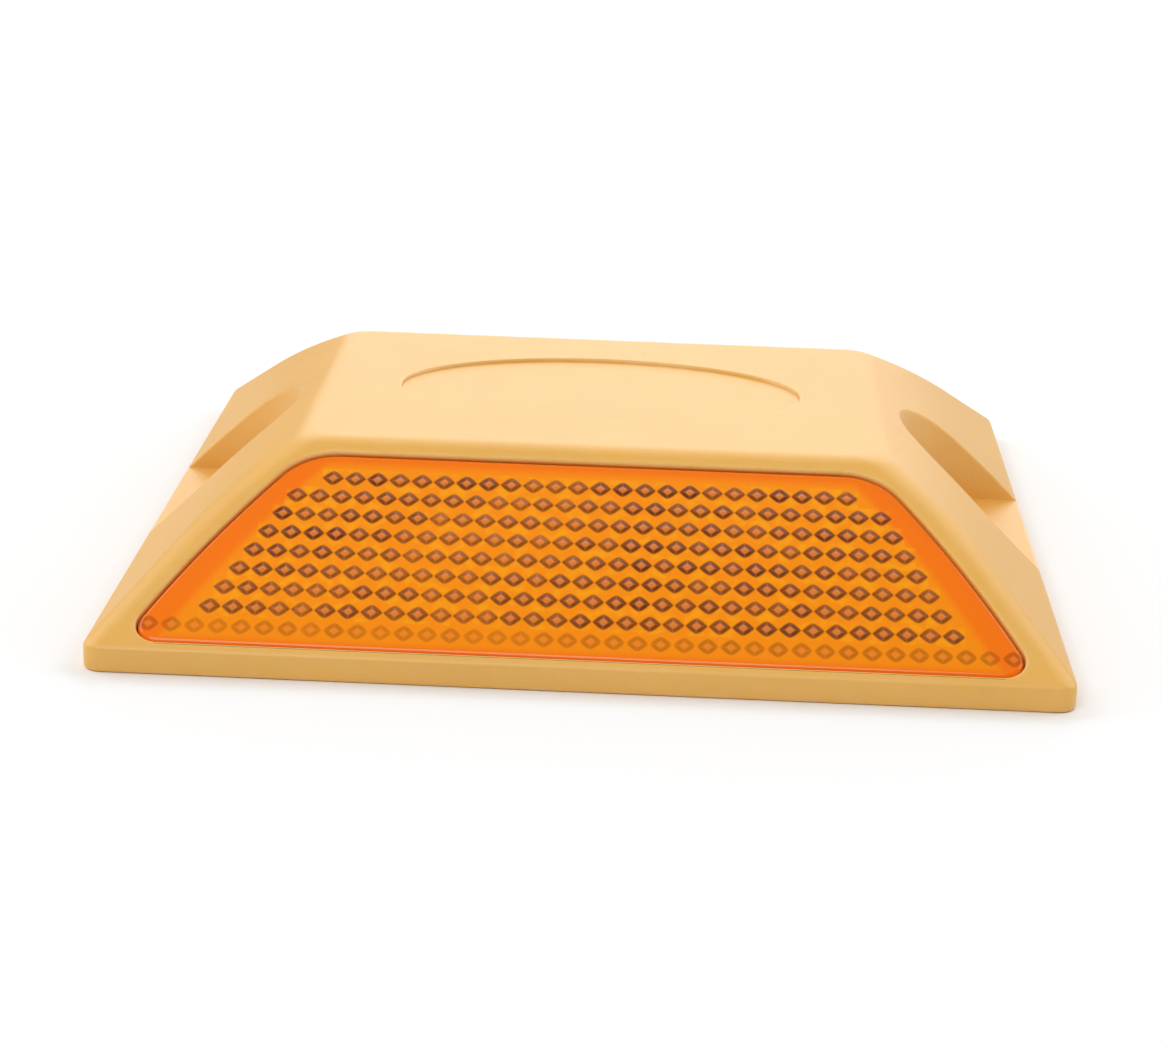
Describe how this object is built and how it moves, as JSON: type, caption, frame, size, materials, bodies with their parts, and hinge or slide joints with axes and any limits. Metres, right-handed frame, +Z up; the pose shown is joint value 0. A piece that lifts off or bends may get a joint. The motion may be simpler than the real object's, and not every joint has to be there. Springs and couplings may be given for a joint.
{
  "type": "raised pavement marker",
  "caption": "Square two-way raised pavement marker: low yellow housing with a flat deck, an amber reflector on each slope and a fixing hole in a half-round pocket at each side.",
  "frame": {"origin": "centre of the base, at road level", "axes": "+X across the road towards the right fixing hole, +Y along the road towards the rear lens, +Z up out of the road; the front lens faces -Y"},
  "size_m": [0.1, 0.1, 0.018],
  "materials": {
    "housing": "satin moulded ABS",
    "lens": "polished moulded acrylic over corner-cube prisms",
    "infill": "rough cast sand and resin"
  },
  "bodies": {
    "root": {"housing": "housing", "front_lens": "lens", "rear_lens": "lens", "infill": "infill"}
  },
  "joints": []
}
